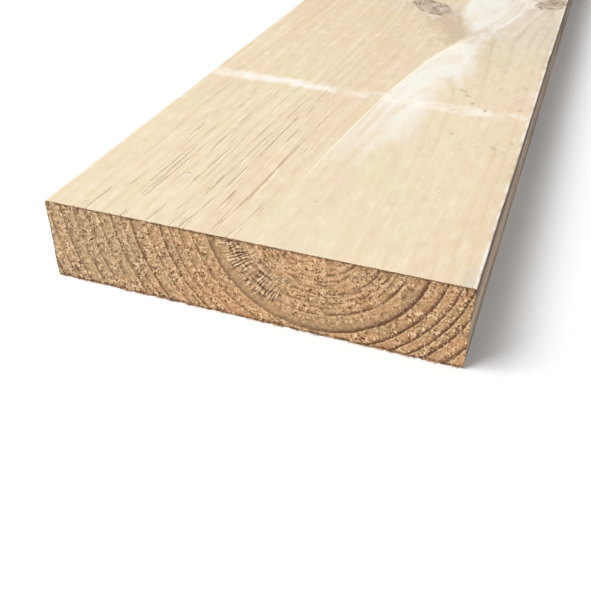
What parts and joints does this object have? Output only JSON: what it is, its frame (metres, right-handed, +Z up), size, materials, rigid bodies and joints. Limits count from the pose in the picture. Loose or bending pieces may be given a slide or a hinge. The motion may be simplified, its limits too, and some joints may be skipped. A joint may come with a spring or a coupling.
{
  "type": "timber plank",
  "caption": "Sawn softwood plank of rectangular section, cut square at both ends, lying flat; stock for joists, decking, shelving or scaffolding.",
  "frame": {"origin": "centre of the underside, on the level surface that the plank lies on", "axes": "+Z up through the thickness, +Y along the length away from the near end, +X across the width to the right as seen from the near end"},
  "size_m": [0.225, 2.4, 0.047],
  "materials": {
    "sawn_whitewood": "rough sawn, unfinished"
  },
  "bodies": {
    "root": {"plank": "sawn_whitewood"}
  },
  "joints": []
}
